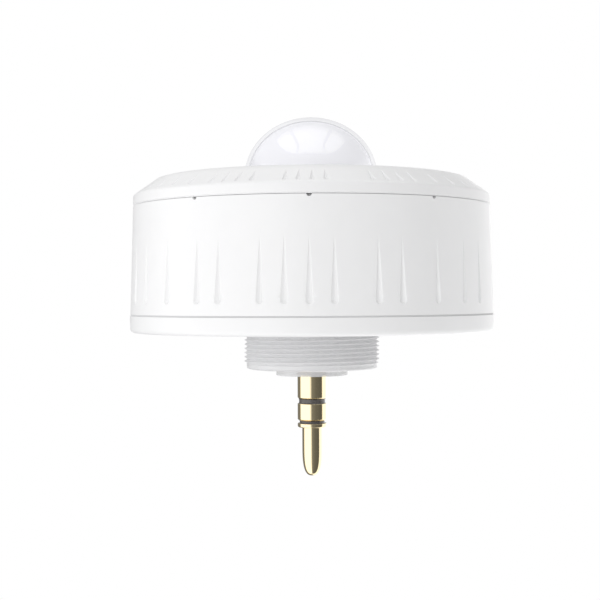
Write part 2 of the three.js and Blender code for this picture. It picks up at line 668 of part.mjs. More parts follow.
place(cover, 'top_cover', topCover(), WHITE);
place(cover, 'cover_seal',
  ring(SPIGOT_R - 0.95, BODY_BORE - PLAY, GROOVE_BOTTOM + PLAY, GROOVE_TOP - PLAY, DRUM_SEGMENTS), SILICONE);
place(cover, 'dome', capShell(DOME_R, DOME_HEIGHT, DOME_WALL, DOME_FLANGE_R), CLEAR);
place(cover, 'dome_seal',
  ring(DOME_R + 1, 27.6, DOME_FLANGE_TOP + PLAY, COVER_CEILING - PLAY, DOME_SEGMENTS), SILICONE);
place(cover, 'diffuser', capShell(DIFFUSER_R, DIFFUSER_HEIGHT, DIFFUSER_WALL, DIFFUSER_FLANGE_R), OPAL);
place(cover, 'dome_clamp_ring', clampRing(), WHITE);
placeScrews(cover, 'dome_clamp_screw', screw(2.1, 1.5, 1.05, 4.5), CLAMP_SCREW_R, QUARTERS,
  CLAMP_BOTTOM - PLAY, true);

export default head;
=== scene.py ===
import json
import math

import bmesh
import bpy
import numpy as np
from mathutils import Matrix, Vector

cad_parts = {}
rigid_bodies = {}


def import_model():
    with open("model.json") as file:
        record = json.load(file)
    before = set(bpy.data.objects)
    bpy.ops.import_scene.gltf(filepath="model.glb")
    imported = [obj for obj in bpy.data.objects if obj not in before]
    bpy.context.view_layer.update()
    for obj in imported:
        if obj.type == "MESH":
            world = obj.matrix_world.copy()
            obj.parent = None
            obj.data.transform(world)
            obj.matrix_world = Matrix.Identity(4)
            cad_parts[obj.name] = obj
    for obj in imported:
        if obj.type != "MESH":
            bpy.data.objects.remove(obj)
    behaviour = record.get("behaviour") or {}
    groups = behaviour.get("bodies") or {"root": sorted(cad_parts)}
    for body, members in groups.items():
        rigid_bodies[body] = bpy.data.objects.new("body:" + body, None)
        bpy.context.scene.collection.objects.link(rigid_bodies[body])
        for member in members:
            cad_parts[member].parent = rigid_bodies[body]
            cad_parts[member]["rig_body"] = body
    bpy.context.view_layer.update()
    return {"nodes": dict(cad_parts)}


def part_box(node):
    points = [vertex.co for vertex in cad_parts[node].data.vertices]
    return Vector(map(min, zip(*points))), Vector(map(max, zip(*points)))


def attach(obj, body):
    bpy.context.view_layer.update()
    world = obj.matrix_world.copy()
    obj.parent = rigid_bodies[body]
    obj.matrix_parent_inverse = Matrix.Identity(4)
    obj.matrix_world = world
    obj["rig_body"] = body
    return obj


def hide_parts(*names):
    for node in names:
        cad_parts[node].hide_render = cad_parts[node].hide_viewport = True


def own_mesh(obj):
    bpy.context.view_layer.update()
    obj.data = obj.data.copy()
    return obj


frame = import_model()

MM = 0.001
nodes = frame["nodes"]


class Extent:
    """A CAD node's box in millimetres, with the radius of a node that is turned about Z."""

    def __init__(self, node):
        self.low, self.high = (np.array(corner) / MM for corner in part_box(node))
        self.bottom, self.top = self.low[2], self.high[2]
        self.middle = (self.low + self.high) / 2
        self.size = self.high - self.low
        self.radius = self.size[0] / 2


# ---- driving dimensions that the CAD boxes don't hold ----
SEAM = 0.4
WALL_LEAN = 1.1                    # the body's wall narrows by this much towards its top
BODY_BORE = 60
SPIGOT_R = 59.7
SKIRT_TOP = 47.7
CHAMFER_TOP = 53.9
CHAMFER_TOP_R = 54.2
CEILING = 52.2

FLUTE_CENTRE = -4.6                # degrees from the front, positive towards +X
FLUTE_OFFSETS = (3.5, 10.5, 23.2, 30.6, 43, 55.2, 64.8, 84)
NOTCH_ANGLES = (-36.5, -1.1, 38)
TICK_GROUPS = (                    # centre and spacing of each group of four ticks
    (-2.2, 4), (24.6, 4.6), (-24.9, 4.5), (51.8, 7.9), (-51.8, 7.9), (90, 4.5), (-90, 4.5),
    (128.2, 7.9), (-128.2, 7.9), (155.4, 4.5), (-155.4, 4.5), (180, 4),
)
SCREW_CIRCLE = 55
SCREW_ANGLES = [math.radians(a) for a in (45, 135, 225, 315)]
THREAD_PITCH = 1.5
THREAD_DEPTH = 0.92


# ---- materials ----
def math_node(tree, operation, *values):
    node = tree.nodes.new("ShaderNodeMath")
    node.operation = operation
    for socket, value in zip(node.inputs, values):
        if hasattr(value, "links"):
            tree.links.new(value, socket)
        else:
            socket.default_value = value
    return node.outputs["Value"]


class Nodes:
    """A material's node tree, with short ways to add and join nodes."""

    def __init__(self, name):
        self.material = bpy.data.materials.new(name)
        self.material.use_nodes = True
        self.tree = self.material.node_tree
        self.shader = self.tree.nodes["Principled BSDF"]
        self.coordinates = self.add("ShaderNodeTexCoord").outputs["Object"]

    def add(self, kind, **settings):
        node = self.tree.nodes.new(kind)
        for name, value in settings.items():
            if name in node.inputs:
                node.inputs[name].default_value = value
            else:
                setattr(node, name, value)
        return node

    def link(self, source, target):
        self.tree.links.new(source, target)

    def noise(self, size, detail=2.0, vector=None):
        """Noise with features of about this size in millimetres."""
        node = self.add("ShaderNodeTexNoise", Scale=1 / (size * MM), Detail=detail)
        self.link(vector or self.coordinates, node.inputs["Vector"])
        return node.outputs["Fac"]

    def spread(self, value, low, high):
        """A 0 to 1 value mapped to the range low to high."""
        node = self.add("ShaderNodeMapRange")
        node.inputs["From Min"].default_value = 0.3
        node.inputs["From Max"].default_value = 0.7
        node.inputs["To Min"].default_value = low
        node.inputs["To Max"].default_value = high
        self.link(value, node.inputs["Value"])
        return node.outputs["Result"]

    def mix(self, factor, first, second):
        node = self.add("ShaderNodeMix", data_type="RGBA")
        for socket, colour in ((node.inputs["A"], first), (node.inputs["B"], second)):
            if hasattr(colour, "links"):
                self.link(colour, socket)
            else:
                socket.default_value = colour
        self.link(factor, node.inputs["Factor"])
        return node.outputs["Result"]

    def bumps(self, layers):
        """Stacked bump layers of (height, depth in millimetres)."""
        normal = None
        for height, depth in layers:
            node = self.add("ShaderNodeBump", Distance=depth * MM)
            self.link(height, node.inputs["Height"])
            if normal:
                self.link(normal, node.inputs["Normal"])
            normal = node.outputs["Normal"]
        self.link(normal, self.shader.inputs["Normal"])


def shade(colour, factor):
    """A colour made lighter or darker, with full alpha."""
    return tuple(min(1.0, channel * factor) for channel in colour) + (1.0,)


def finish(name, colour, roughness, grain=0.25, grain_depth=0.004, mottling=0.015, mottle_size=6.0,
           roughness_spread=0.04, wave=None, wave_depth=0.02, **sockets):
    """A procedural finish: mottled colour, uneven roughness, fine grain and optional even lines.

    sockets are values for the shader's own inputs, with underscores for spaces.
    """
    made = Nodes(name)
    shader = made.shader
    for socket, value in sockets.items():
        shader.inputs[socket.replace("_", " ")].default_value = value
    mottle = made.noise(mottle_size, 4)
    made.link(made.mix(mottle, shade(colour, 1 - mottling), shade(colour, 1 + mottling)),
              shader.inputs["Base Color"])
    patches = made.noise(mottle_size / 3, 3)
    made.link(made.spread(patches, roughness - roughness_spread, roughness + roughness_spread),
              shader.inputs["Roughness"])
    layers = [(made.noise(grain, 3), grain_depth)]
    if wave:
        lines = made.add("ShaderNodeTexWave", bands_direction=wave[0], wave_profile="SIN",
                         Scale=0.314 / (wave[1] * MM), Distortion=0.6)
        lines.inputs["Detail Scale"].default_value = 2
        made.link(made.coordinates, lines.inputs["Vector"])
        layers.append((lines.outputs["Fac"], wave_depth))
    made.bumps(layers)
    return made.material


def board_finish(name, mask, copper):
    """Solder mask over traces: cells with raised edges, mottled by noise."""
    made = Nodes(name)
    cells = made.add("ShaderNodeTexVoronoi", feature="DISTANCE_TO_EDGE", distance="CHEBYCHEV",
                     Scale=1 / (5 * MM), Randomness=0.55)
    made.link(made.coordinates, cells.inputs["Vector"])
    edge = made.add("ShaderNodeMapRange")
    edge.inputs["From Min"].default_value = 0.03
    edge.inputs["From Max"].default_value = 0.06
    made.link(cells.outputs["Distance"], edge.inputs["Value"])
    fine = made.noise(3, 4)
    made.link(made.mix(edge.outputs["Result"], shade(copper, 1), shade(mask, 1)),
              made.shader.inputs["Base Color"])
    made.link(made.spread(fine, 0.3, 0.42), made.shader.inputs["Roughness"])
    made.bumps([(made.noise(0.4, 2), 0.01), (edge.outputs["Result"], -0.03)])
    made.shader.inputs["Coat Weight"].default_value = 0.5
    return made.material


def clear_finish(name, tint, least):
    """A clear thin wall: see-through, with reflections that strengthen towards its edge."""
    made = Nodes(name)
    made.tree.nodes.remove(made.shader)
    through = made.add("ShaderNodeBsdfTransparent", Color=shade(tint, 1))
    gloss = made.add("ShaderNodeBsdfGlossy")
    ripple = made.add("ShaderNodeBump", Distance=0.002 * MM)
    made.link(made.noise(3, 2), ripple.inputs["Height"])
    made.link(ripple.outputs["Normal"], gloss.inputs["Normal"])
    made.link(made.spread(made.noise(5, 3), 0.01, 0.03), gloss.inputs["Roughness"])
    facing = made.add("ShaderNodeLayerWeight").outputs["Facing"]
    steep = math_node(made.tree, "POWER", facing, 5)
    share = math_node(made.tree, "MULTIPLY_ADD", steep, 0.1, least)
    both = made.add("ShaderNodeMixShader")
    made.link(share, both.inputs["Fac"])
    made.link(through.outputs["BSDF"], both.inputs[1])
    made.link(gloss.outputs["BSDF"], both.inputs[2])
    made.link(both.outputs["Shader"], made.tree.nodes["Material Output"].inputs["Surface"])
    return made.material


WHITE = (0.92, 0.92, 0.925)
FINISHES = {
    "white_housing": finish("satin_white_plastic", WHITE, 0.34, Specular_IOR_Level=0.4),
    "coupling_grey": finish("grey_nylon", (0.76, 0.76, 0.768), 0.38, grain_depth=0.006,
                            roughness_spread=0.06),
    "clear_dome": clear_finish("clear_polycarbonate", (0.955, 0.955, 0.965), 0.05),
    # Painted glow: this finish emits light of its own though it is no lamp, so the diffuser under the
    # dome and the climate sensor that share it look evenly bright from every side.
    "opal": finish("opal_diffuser_painted_glow", (0.75, 0.75, 0.76), 0.45, mottling=0.01,
                   Emission_Color=(1.0, 1.0, 1.0, 1.0), Emission_Strength=0.39),
    "silicone": finish("grey_silicone", (0.78, 0.78, 0.79), 0.6, grain=0.5, grain_depth=0.01),
    "black_rubber": finish("black_rubber", (0.02, 0.02, 0.021), 0.65, grain=0.4, grain_depth=0.02,
                           mottling=0.2),
    "frosted": finish("frosted_washer", (0.84, 0.84, 0.85), 0.35, mottling=0.02, Alpha=0.62),
    "gold": finish("gold_plate", (0.83, 0.71, 0.46), 0.1, grain=0.6, grain_depth=0.0006,
                   mottling=0.03, roughness_spread=0.03, wave=("Z", 0.09), wave_depth=0.0006,
                   Metallic=1.0),
    "black_plastic": finish("dark_insulator", (0.10, 0.092, 0.088), 0.28, mottling=0.1),
    "board_green": board_finish("solder_mask", (0.018, 0.12, 0.05), (0.05, 0.22, 0.09)),
    "steel": finish("turned_steel", (0.56, 0.57, 0.58), 0.26, grain=0.3, grain_depth=0.003,
                    mottling=0.05, wave=("Z", 0.12), wave_depth=0.002, Metallic=1.0),
    "chip_black": finish("moulded_epoxy", (0.018, 0.018, 0.02), 0.5, grain=0.15, grain_depth=0.01,
                         mottling=0.2),
    "capacitor_sleeve": finish("sleeve_film", (0.03, 0.045, 0.07), 0.3, mottling=0.1),
    "wire_red": finish("red_insulation", (0.42, 0.02, 0.015), 0.42, mottling=0.06),
    "wire_black": finish("black_insulation", (0.012, 0.012, 0.012), 0.42, mottling=0.2),
    "wire_white": finish("natural_nylon", (0.72, 0.72, 0.69), 0.42, mottling=0.03),
    "flat_cable": finish("ribbon_insulation", (0.35, 0.35, 0.36), 0.45, wave=("Y", 1.0),
                         wave_depth=0.12),
}


# ---- mesh builders ----
def arc(radius_r, radius_z, start, end, steps, centre=(0, 0)):
    """Points on an elliptical arc, angles in degrees."""
    angles = np.radians(np.linspace(start, end, steps + 1))
    return [(centre[0] + radius_r * math.cos(a), centre[1] + radius_z * math.sin(a)) for a in angles]


def rounded(*corners):
    """An outline of [radius, height] points. A corner with a third number is rounded by it."""
    outline = []
    count = len(corners)
    for i, corner in enumerate(corners):
        here = Vector(corner[:2])
        if len(corner) == 2:
            outline.append(tuple(here))
            continue
        radius = corner[2]
        before = (Vector(corners[i - 1][:2]) - here).normalized()
        after = (Vector(corners[(i + 1) % count][:2]) - here).normalized()
        half_angle = before.angle(after) / 2
        reach = radius / math.tan(half_angle)
        centre = here + (before + after).normalized() * (radius / math.sin(half_angle))
        start, end = here + before * reach - centre, here + after * reach - centre
        first = math.degrees(math.atan2(start.y, start.x))
        last = math.degrees(math.atan2(end.y, end.x))
        sweep = (last - first + 180) % 360 - 180
        outline += arc(radius, radius, first, first + sweep, 6, centre)
    return outline


def loft(columns, closed_ring=True):
    """Corners and faces of a solid from columns of points round an axis, each a closed outline."""
    columns = np.array(columns, float)
    count, rows = columns.shape[:2]
    index = np.arange(count * rows).reshape(count, rows)
    if closed_ring:
        this, other = index, np.roll(index, -1, axis=0)
    else:
        this, other = index[:-1], index[1:]
    faces = np.stack([this, other, np.roll(other, -1, axis=1), np.roll(this, -1, axis=1)], axis=-1)
    faces = faces.reshape(-1, 4).tolist()
    if not closed_ring:
        faces += [index[0].tolist(), index[-1][::-1].tolist()]
    return columns.reshape(-1, 3), faces


def turn(outline, angle, centre=(0, 0)):
    """An outline of [radius, height] points stood at an angle in degrees about a vertical axis."""
    a = math.radians(angle)
    return [(centre[0] + r * math.cos(a), centre[1] + r * math.sin(a), z) for r, z in outline]


def lathe(outline, segments=96, centre=(0, 0)):
    """A turned solid. The outline may be a function of the angle in degrees."""
    angles = [360 * i / segments for i in range(segments)]
    make = outline if callable(outline) else lambda angle: outline
    return loft([turn(make(angle), angle, centre) for angle in angles])


def joined(*solids):
    """Several solids as one set of corners and faces."""
    corners, faces = [], []
    for solid_corners, solid_faces in solids:
        start = len(corners)
        corners += [tuple(c) for c in solid_corners]
        faces += [[start + i for i in face] for face in solid_faces]
    return corners, faces


def block(centre, size, edge=0.12):
    """A box with chamfered edges, centred on a point."""
    mesh = bmesh.new()
    bmesh.ops.create_cube(mesh, size=1, matrix=Matrix.Translation(centre) @ Matrix.Diagonal((*size, 1)))
    bmesh.ops.bevel(mesh, geom=mesh.edges[:], offset=edge, segments=2, affect="EDGES", profile=0.5)
    mesh.verts.index_update()
    corners = [tuple(v.co) for v in mesh.verts]
    faces = [[v.index for v in face.verts] for face in mesh.faces]
    mesh.free()
    return corners, faces


def tube(path, radius, sides=12):
    """A round tube along a smooth curve through the given points."""
    points = np.array(path, float)
    tangents = np.gradient(points, axis=0)
    tangents /= np.linalg.norm(tangents, axis=1)[:, None]
    side = np.cross(tangents[0], (0.13, 0.27, 0.95))
    columns = []
    for point, tangent in zip(points, tangents):
        side = side - tangent * side.dot(tangent)
        side /= np.linalg.norm(side)
        up = np.cross(tangent, side)
        spokes = np.radians(np.arange(sides) * 360 / sides)
        columns.append([point + radius * (side * math.cos(a) + up * math.sin(a)) for a in spokes])
    return loft(columns, closed_ring=False)


def smooth_path(points, steps=10):
    """A Catmull-Rom curve through the points."""
    points = [np.array(p, float) for p in points]
    padded = [2 * points[0] - points[1], *points, 2 * points[-1] - points[-2]]
    curve = []
    for a, b, c, d in zip(padded, padded[1:], padded[2:], padded[3:]):
        for t in np.arange(steps) / steps:
            curve.append(0.5 * (2 * b + (c - a) * t + (2 * a - 5 * b + 4 * c - d) * t ** 2
                                + (3 * b - a - 3 * c + d) * t ** 3))
    return curve + [points[-1]]


def piece(node, solid, also=(), crease=32):
    """A visible piece that stands for a CAD node, and takes its body and finish from it."""
    corners, faces = solid
    mesh = bpy.data.meshes.new(f"{node}_look")
    mesh.from_pydata([tuple(np.array(c) * MM) for c in corners], [], faces)
    tidy = bmesh.new()
    tidy.from_mesh(mesh)
    bmesh.ops.remove_doubles(tidy, verts=tidy.verts[:], dist=2e-6)
    bmesh.ops.dissolve_degenerate(tidy, edges=tidy.edges[:], dist=1e-7)
    bmesh.ops.recalc_face_normals(tidy, faces=tidy.faces[:])
    tidy.to_mesh(mesh)
    tidy.free()
    mesh.polygons.foreach_set("use_smooth", [True] * len(mesh.polygons))
    mesh.set_sharp_from_angle(angle=math.radians(crease))
    shown = bpy.data.objects.new(f"{node}_look", mesh)
    bpy.context.scene.collection.objects.link(shown)
    slot = SLOTS[node]
    mesh.materials.append(FINISHES[slot])
    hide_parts(node, *also)
    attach(shown, nodes[node]["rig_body"])
    return shown


# Material slots of the CAD nodes, listed by name; a node not listed takes the steel finish.
SLOT_NODES = {
    "white_housing": ("base_cover", "body_shell", "top_cover", "dome_clamp_ring"),
    "coupling_grey": ("threaded_coupling",),
    "clear_dome": ("dome",),
    # The diffuser and the climate sensor take the glowing finish, whose emission is painted light.
    "opal": ("diffuser", "climate_sensor"),
    "silicone": ("base_seal", "cover_seal", "dome_seal"),
    "black_rubber": ("coupling_seal",),
    "frosted": ("contact_washer",),
    "gold": ("plug_sleeve", "plug_ring_contact", "plug_tip_barrel", "plug_tip_plunger"),
    "black_plastic": ("plug_upper_insulator", "plug_lower_insulator", "pressure_vent"),
    "board_green": ("main_board", "sensor_board"),
    "chip_black": ("processor_chip", "power_inductor", "light_sensor", "ultraviolet_sensor"),
    "capacitor_sleeve": ("power_capacitor",),
    "wire_red": ("tip_wire",),
    "wire_black": ("sleeve_wire",),
    "wire_white": ("ring_wire", "plug_header", "main_board_socket", "sensor_board_socket"),
    "flat_cable": ("sensor_cable",),
}
SLOTS = {node: "steel" for node in nodes}
SLOTS.update({node: slot for slot, names in SLOT_NODES.items() for node in names})


# ---- drum ----
def from_front(angle):
    """An angle from the front, turned into one from +X."""
    return angle - 90


def repeated(angles, times):
    """Angles from the front, repeated evenly round the whole turn."""
    return [from_front(angle + 360 * turn / times) for turn in range(times) for angle in angles]


def column_angles(marks, half_width, inside=14, step=1.5):
    """Angles in degrees all round: even steps, and a close set across each mark."""
    marks = np.array(marks, float)
    even = np.arange(0, 360, step)
    away = np.abs((even[:, None] - marks + 180) % 360 - 180).min(axis=1)
    dense = (marks[:, None] + half_width * np.linspace(-1, 1, inside + 1)).ravel()
    angles = np.concatenate([even[away > half_width * 1.1], dense]) % 360
    return np.unique(angles.round(4))


def nearest(marks, angle):
    """Signed angle from the nearest mark, in degrees."""
    gaps = (angle - np.array(marks) + 180) % 360 - 180
    return gaps[np.abs(gaps).argmin()]


def scoop(across, along, half_width, tail, depth):
    """Depth of a teardrop hollow: a round end at along = 0 that narrows over the tail's length."""
    width = half_width if along <= 0 else half_width * (1 - along / tail)
    if width <= 0:
        return 0.0
    reach = (across ** 2 + min(along, 0) ** 2) / width ** 2
    return depth * width / half_width * max(0.0, 1 - reach) ** 1.15


body = Extent("body_shell")
base = Extent("base_cover")
cover = Extent("top_cover")
BASE_RIM = body.bottom - SEAM
BASE_EDGE_R = 1.7
FLUTE_HALF_WIDTH = 1.25
FLUTE_DEPTH = 1.1
FLUTE_BALL = 11.2                  # height of the centre of each flute's round end
FLUTE_TAIL = 20.5
FLUTES = repeated([FLUTE_CENTRE + o * side for o in FLUTE_OFFSETS for side in (1, -1)], 2)
NOTCHES = repeated(NOTCH_ANGLES, 3)
NOTCH_R = 0.85
STEP, STEP_INSET = 0.26, 0.28      # a step under the cover's edge closes most of the upper seam
RELIEF = 1.4                       # the spigot is relieved behind the prising notches
TICK_HALF_WIDTH = 0.72
TICK_DEPTH = 0.8
TICK_TAIL = 6
TICK_BALL = 1.9                    # centre of each tick's round end, measured up the chamfer
TICKS = [from_front(centre + place * spacing)
         for centre, spacing in TICK_GROUPS for place in (-1.5, -0.5, 0.5, 1.5)]


def body_outline(angle):
    around = math.radians(nearest(FLUTES, angle)) * body.radius
    notch = math.radians(nearest(NOTCHES, angle)) * (body.radius - WALL_LEAN)
    cut = math.sqrt(max(0.0, NOTCH_R ** 2 - notch ** 2))
    rim = body.top - cut
    edge = 0.12
    heights = [body.bottom + edge, 8, *np.arange(10, 13, 0.25), *np.arange(13, 34, 1.0),
               37, 40, 42.2, rim - edge]
    wall = []
    for z in heights:
        lean = WALL_LEAN * (z - body.bottom) / (body.top - body.bottom)
        hollow = scoop(around, z - FLUTE_BALL, FLUTE_HALF_WIDTH, FLUTE_TAIL, FLUTE_DEPTH)
        wall.append((body.radius - lean - hollow, z))
    top_r = wall[-1][0]
    return [
        (BODY_BORE, body.bottom), (body.radius - edge, body.bottom), *wall,
        (top_r - edge, rim), (BODY_BORE + 0.6, rim), (BODY_BORE + 0.6, body.top),
        (BODY_BORE, body.top),
    ]


def body_shell():
    flute_window = math.degrees(FLUTE_HALF_WIDTH * 1.02 / body.radius)
    angles = np.concatenate([
        column_angles(FLUTES, flute_window),
        *[m + np.linspace(-0.8, 0.8, 13) for m in NOTCHES],
    ]) % 360
    wall = loft([turn(body_outline(a), a) for a in np.unique(angles.round(3))])
    bosses = []
    for angle in SCREW_ANGLES:
        x, y = SCREW_CIRCLE * math.cos(angle), SCREW_CIRCLE * math.sin(angle)
        profile = rounded((1.45, 9.5), (4.2, 9.5, 0.3), (4.2, 21, 0.3), (1.45, 21, 0.2))
        bosses.append(lathe(profile, 32, (x, y)))
    return joined(wall, *bosses)


def base_outline():
    return rounded(
        (24.3, 0, 0.3), (base.radius, 0, BASE_EDGE_R), (base.radius, BASE_RIM, 0.15),
        (59.6, BASE_RIM), (59.6, base.top, 0.3), (57.6, base.top, 0.3),
        (57.6, 3, 0.6), (27.4, 3), (27.4, 2), (25, 2), (25, 3), (24.3, 3, 0.2))


def cover_outline(angle):
    """The top cover's section, with the nearest tick pressed into its chamfer."""
    skirt_bottom = body.top + SEAM
    step_bottom = skirt_bottom - STEP
    foot, crest = Vector((cover.radius, SKIRT_TOP)), Vector((CHAMFER_TOP_R, CHAMFER_TOP))
    slope = (crest - foot).normalized()
    inward = Vector((-slope.y, slope.x))
    middle_r = (foot.x + crest.x) / 2
    across = math.radians(nearest(TICKS, angle)) * middle_r
    length = (crest - foot).length
    chamfer = []
    for along in (0.35, 0.8, *np.arange(TICK_BALL - 0.7, TICK_BALL + 0.7, 0.14),
                  *np.arange(TICK_BALL + 0.7, TICK_BALL + TICK_TAIL + 0.3, 0.5), length - 0.8):
        hollow = scoop(across, along - TICK_BALL, TICK_HALF_WIDTH, TICK_TAIL, TICK_DEPTH)
        chamfer.append(tuple(foot + slope * along + inward * hollow))
    return [
        (SPIGOT_R - 2.3, cover.bottom), (SPIGOT_R - 0.3, cover.bottom), (SPIGOT_R, cover.bottom + 0.3),
        (SPIGOT_R, 40), (SPIGOT_R - 1, 40), (SPIGOT_R - 1, 42), (SPIGOT_R, 42),
        (SPIGOT_R, 42.3), (SPIGOT_R - RELIEF, 42.3), (SPIGOT_R - RELIEF, step_bottom),
        (cover.radius - STEP_INSET, step_bottom),
        (cover.radius - STEP_INSET, skirt_bottom), (cover.radius - 0.15, skirt_bottom),
        (cover.radius, skirt_bottom + 0.15), (cover.radius, SKIRT_TOP - 0.35),
        (cover.radius - 0.05, SKIRT_TOP - 0.1), *chamfer,
        (CHAMFER_TOP_R + 0.1, CHAMFER_TOP - 0.32), (CHAMFER_TOP_R - 0.7, CHAMFER_TOP - 0.1),
        (CHAMFER_TOP_R - 1.8, CHAMFER_TOP + 0.02), (27, cover.top), (24.2, cover.top),
        (23.9, cover.top - 0.3), (23.9, CEILING), (50.5, CEILING), (SPIGOT_R - 2.3, SKIRT_TOP - 0.5),
    ]


def top_cover():
    window = math.degrees(TICK_HALF_WIDTH * 1.05 / 58.5)
    shell = loft([turn(cover_outline(a), a) for a in column_angles(TICKS, window, inside=12)])
    bosses = []
    for quarter in range(4):
        x, y = 32 * math.cos(quarter * math.pi / 2), 32 * math.sin(quarter * math.pi / 2)
        bosses.append(lathe(rounded((1.3, 49.8, 0.2), (3, 49.8, 0.3), (3, CEILING), (1.3, CEILING)),
                            24, (x, y)))
    return joined(shell, *bosses)


piece("base_cover", lathe(base_outline(), 192))
piece("body_shell", body_shell())
piece("top_cover", top_cover())

# ---- seals ----
LOWER_LIP = 0.2                   # the base seal's lip stops this far inside the base's rim
for seal, inner, outer in (("base_seal", 60.6, base.radius - LOWER_LIP),
                           ("cover_seal", SPIGOT_R - 0.95, BODY_BORE - 0.05),
                           ("dome_seal", 24.6, 27.6), ("coupling_seal", 25.2, 27.2)):
    box = Extent(seal)
    soft = min(box.size[2], outer - inner) * 0.4
    piece(seal, lathe(rounded((inner, box.bottom, soft), (outer, box.bottom, soft),
                              (outer, box.top, soft), (inner, box.top, soft)), 144))


# ---- dome and diffuser ----
def cap(node, radius, wall, centre_z):
    box = Extent(node)
    height = box.top - centre_z
    flange_top = box.bottom + 1.5
    outer = arc(radius, height, 0, 90, 40, (0, centre_z))
    inner = arc(radius - wall, height - wall, 90, 0, 40, (0, centre_z))
    outer[-1], inner[0] = (0, box.top), (0, box.top - wall)
    return lathe([
        (radius - wall, box.bottom), (box.radius - 0.15, box.bottom),
        (box.radius, box.bottom + 0.15), (box.radius, flange_top - 0.15),
        (box.radius - 0.15, flange_top), (radius, flange_top), *outer, *inner,
    ], 144)


piece("dome", cap("dome", 23.6, 1.2, cover.top), crease=40)
# The diffuser's finish glows by emission: painted light, not a lamp.
piece("diffuser", cap("diffuser", 21.9, 1.2, cover.top), crease=40)
clamp = Extent("dome_clamp_ring")
piece("dome_clamp_ring", lathe(rounded(
    (19.5, clamp.bottom, 0.3), (clamp.radius, clamp.bottom, 0.3),
    (clamp.radius, clamp.top, 0.3), (19.5, clamp.top, 0.3)), 144))


# ---- coupling, washer and plug ----
coupling = Extent("threaded_coupling")
THREAD_R = 24
washer = Extent("contact_washer")


def thread_r(angle, z):
    """Radius of the thread's surface: narrow crests, rounded roots, and a tapered lower end."""
    phase = (z / THREAD_PITCH - angle / 360) % 1
    tooth = abs(phase - 0.5) * 2
    fall = min(1.0, max(0.0, (tooth - 0.1) / 0.72))
    crest = THREAD_R - THREAD_DEPTH * (fall + 0.12 * math.sin(math.pi * fall))
    lead = THREAD_R - 0.8 + max(0.0, z - coupling.bottom - 1.6)
    return min(crest, lead)


def coupling_outline(angle):
    steps = np.arange(coupling.bottom + 0.3, -0.4, THREAD_PITCH / 14)
    return [
        (20.5, -9.5), (5.2, -9.5), (5.2, coupling.bottom), (THREAD_R - 1.7, coupling.bottom),
        (THREAD_R - 1.3, coupling.bottom + 0.1), *[(thread_r(angle, z), z) for z in steps],
        (THREAD_R - 0.1, -0.2), (THREAD_R - 0.1, 3.05), (coupling.radius, 3.05),
        (coupling.radius, coupling.top - 0.3), (coupling.radius - 0.3, coupling.top),
        (20.5, coupling.top),
    ]


piece("threaded_coupling", lathe(coupling_outline, 180), crease=50)
piece("contact_washer", lathe(rounded(
    (5.22, washer.bottom, 0.1), (12.7, washer.bottom, 0.12), (12.7, -14.2, 0.05),
    (15.1, washer.top), (6.4, washer.top), (6.4, -14.25), (5.22, -14.25)), 128))

plug_sleeve = Extent("plug_sleeve")
PLUG_R = 5.15
SLEEVE_EDGE = 0.45
piece("plug_sleeve", lathe(rounded(
    (4.55, plug_sleeve.bottom), (PLUG_R - SLEEVE_EDGE, plug_sleeve.bottom, 0.05),
    (PLUG_R, plug_sleeve.bottom + SLEEVE_EDGE, 0.2), (PLUG_R, -14.2), (6.3, -14.2),
    (6.3, -13.25), (PLUG_R, -13.25), (PLUG_R, plug_sleeve.top, 0.2), (4.55, plug_sleeve.top)), 96))

ring_contact = Extent("plug_ring_contact")
piece("plug_ring_contact", lathe(rounded(
    (4.55, ring_contact.bottom), (PLUG_R - SLEEVE_EDGE, ring_contact.bottom, 0.05),
    (PLUG_R, ring_contact.bottom + SLEEVE_EDGE, 0.2), (PLUG_R, ring_contact.top, 0.15),
    (4.55, ring_contact.top)), 96))

upper = Extent("plug_upper_insulator")
UPPER_R = 4.8
piece("plug_upper_insulator", lathe([
    (3.95, upper.bottom), (4.5, upper.bottom), (4.5, ring_contact.top + 0.05),
    (UPPER_R, ring_contact.top + 0.05), *arc(-0.18, 0.8, -90, 90, 8, (UPPER_R, -24.85)),
    (UPPER_R, plug_sleeve.bottom - 0.05), (4.5, plug_sleeve.bottom - 0.05), (4.5, upper.top),
    (3.95, upper.top)], 96))

lower = Extent("plug_lower_insulator")
piece("plug_lower_insulator", lathe([
    (3.95, lower.bottom), (lower.radius, lower.bottom),
    *arc(-0.12, 0.45, -90, 90, 8, (lower.radius, (lower.bottom + lower.top) / 2)),
    (lower.radius, lower.top), (3.95, lower.top)], 96))

barrel = Extent("plug_tip_barrel")
piece("plug_tip_barrel", lathe(rounded(
    (3.65, barrel.bottom), (PLUG_R, barrel.bottom, 0.5), (PLUG_R, -32.75, 0.12),
    (3.9, -32.75), (3.9, barrel.top, 0.2), (1.5, barrel.top), (1.5, -28.4), (3.65, -28.4)), 96))

plunger = Extent("plug_tip_plunger")
NOSE_START = -41
NOSE_FULLNESS = 2.9                # exponent of the nose's superellipse


def nose():
    length = NOSE_START - plunger.bottom
    power = 2 / NOSE_FULLNESS
    quarter = arc(1, 1, -90, 0, 28)
    quarter[0] = (0, -1)
    return [(plunger.radius * max(r, 0) ** power, NOSE_START - length * max(-z, 0) ** power)
            for r, z in quarter]


piece("plug_tip_plunger", lathe([
    *nose(), (plunger.radius, -34.2), (plunger.radius - 0.2, -34), (1.4, -34),
    (1.4, -27.6), (1.0, -27.6), (1.0, plunger.top), (0, plunger.top)], 96), crease=40)

